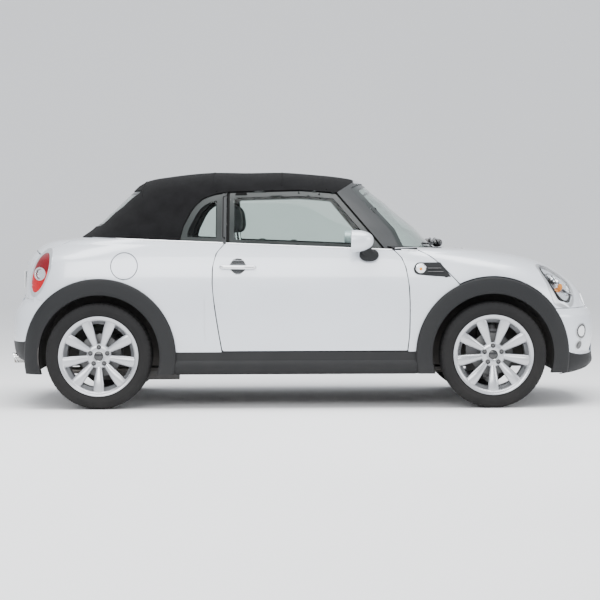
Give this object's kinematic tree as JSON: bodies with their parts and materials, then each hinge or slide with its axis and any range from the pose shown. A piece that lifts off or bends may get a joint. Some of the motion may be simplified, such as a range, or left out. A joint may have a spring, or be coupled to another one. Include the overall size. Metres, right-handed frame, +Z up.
{
  "type": "two-door convertible car",
  "caption": "Small two-door convertible car with its fabric roof up, opening doors, bonnet, tailgate and fuel flap, steered front wheels and rolling alloy wheels.",
  "frame": {"origin": "on the ground, at the middle of the overall length and width", "axes": "+X towards the car's front, +Y towards its left side, +Z up"},
  "size_m": [3.697, 1.902, 1.458],
  "materials": {
    "body_paint": "gloss",
    "black_plastic": "matte",
    "dark_plastic": "satin",
    "underbody": "matte",
    "chassis_steel": "satin",
    "cast_grey": "matte",
    "window_glass": "clear",
    "roof_fabric": "matte",
    "lamp_clear": "clear",
    "lamp_red": "clear",
    "pillar_grey": "satin",
    "exhaust_steel": "satin",
    "engine_metal": "satin",
    "cabin_plastic": "matte",
    "seat_cloth": "matte",
    "alloy": "satin",
    "tyre_rubber": "matte",
    "steering_cover": "satin"
  },
  "bodies": {
    "car_body": {"floor_pan": "underbody", "sills": "black_plastic", "front_bulkhead": "underbody", "cowl": "black_plastic", "housing_front_left": "dark_plastic", "housing_front_right": "dark_plastic", "housing_rear_left": "dark_plastic", "housing_rear_right": "dark_plastic", "carriers": "chassis_steel", "front_bumper": "body_paint", "rear_bumper": "body_paint", "lower_trims": "black_plastic", "quarter_panels": "body_paint", "front_wings": "body_paint", "windscreen_frame": "pillar_grey", "windscreen": "window_glass", "soft_top": "roof_fabric", "rear_window": "window_glass", "quarter_windows": "window_glass", "rear_deck": "body_paint", "wheel_arch_trims": "black_plastic", "headlights": "lamp_clear", "tail_lights": "lamp_red", "grille": "dark_plastic", "exhaust": "exhaust_steel", "engine": "engine_metal", "dashboard": "cabin_plastic", "front_seats": "seat_cloth", "rear_seat": "seat_cloth", "front_subframe": "chassis_steel", "rear_axle": "chassis_steel", "wipers": "black_plastic"},
    "left_door": {"door_left": "body_paint", "door_glass_left": "window_glass", "mirror_left": "body_paint"},
    "right_door": {"door_right": "body_paint", "door_glass_right": "window_glass", "mirror_right": "body_paint"},
    "bonnet_lid": {"bonnet": "body_paint", "bonnet_grille": "dark_plastic"},
    "tail_gate": {"tailgate": "body_paint"},
    "fuel_door": {"fuel_flap": "body_paint"},
    "steering": {"steering_wheel": "steering_cover"},
    "left_knuckle": {"knuckle_left": "cast_grey"},
    "right_knuckle": {"knuckle_right": "cast_grey"},
    "front_left_wheel": {"wheel_front_left": "alloy", "tyre_front_left": "tyre_rubber"},
    "front_right_wheel": {"wheel_front_right": "alloy", "tyre_front_right": "tyre_rubber"},
    "rear_left_wheel": {"wheel_rear_left": "alloy", "tyre_rear_left": "tyre_rubber"},
    "rear_right_wheel": {"wheel_rear_right": "alloy", "tyre_rear_right": "tyre_rubber"}
  },
  "joints": [
    {"name": "door_left_hinge", "type": "hinge", "parent": "car_body", "child": "left_door", "pos_m": [0.646, 0.816, 0.6], "axis": [0, 0, -1], "range_deg": [0, 65]},
    {"name": "door_right_hinge", "type": "hinge", "parent": "car_body", "child": "right_door", "pos_m": [0.646, -0.816, 0.6], "axis": [0, 0, 1], "range_deg": [0, 65]},
    {"name": "bonnet_hinge", "type": "hinge", "parent": "car_body", "child": "bonnet_lid", "pos_m": [0.695, 0, 0.972], "axis": [0, -1, 0], "range_deg": [0, 50]},
    {"name": "tailgate_hinge", "type": "hinge", "parent": "car_body", "child": "tail_gate", "pos_m": [-1.775, 0, 0.67], "axis": [0, -1, 0], "range_deg": [0, 85]},
    {"name": "fuel_flap_hinge", "type": "hinge", "parent": "car_body", "child": "fuel_door", "pos_m": [-1.01, -0.796, 0.87], "axis": [0, 0.2284, 0.9736], "range_deg": [0, 95]},
    {"name": "steer_left", "type": "hinge", "parent": "car_body", "child": "left_knuckle", "pos_m": [1.153, 0.7, 0.323], "axis": [0, 0, 1], "range_deg": [-32, 32]},
    {"name": "steer_right", "type": "hinge", "parent": "car_body", "child": "right_knuckle", "pos_m": [1.153, -0.7, 0.323], "axis": [0, 0, 1], "range_deg": [-32, 32]},
    {"name": "steering_turn", "type": "hinge", "parent": "car_body", "child": "steering", "pos_m": [0.3, 0.34, 0.85], "axis": [-0.9063, 0, 0.4226], "range_deg": [-448, 448]},
    {"name": "spin_front_left", "type": "hinge", "parent": "left_knuckle", "child": "front_left_wheel", "pos_m": [1.153, 0.73, 0.323], "axis": [0, 1, 0], "continuous": true},
    {"name": "spin_front_right", "type": "hinge", "parent": "right_knuckle", "child": "front_right_wheel", "pos_m": [1.153, -0.73, 0.323], "axis": [0, 1, 0], "continuous": true},
    {"name": "spin_rear_left", "type": "hinge", "parent": "car_body", "child": "rear_left_wheel", "pos_m": [-1.247, 0.73, 0.323], "axis": [0, 1, 0], "continuous": true},
    {"name": "spin_rear_right", "type": "hinge", "parent": "car_body", "child": "rear_right_wheel", "pos_m": [-1.247, -0.73, 0.323], "axis": [0, 1, 0], "continuous": true}
  ],
  "couplings": [
    {"joint": "steer_right", "follows": "steer_left", "ratio": 1},
    {"joint": "steering_turn", "follows": "steer_left", "ratio": 14}
  ]
}
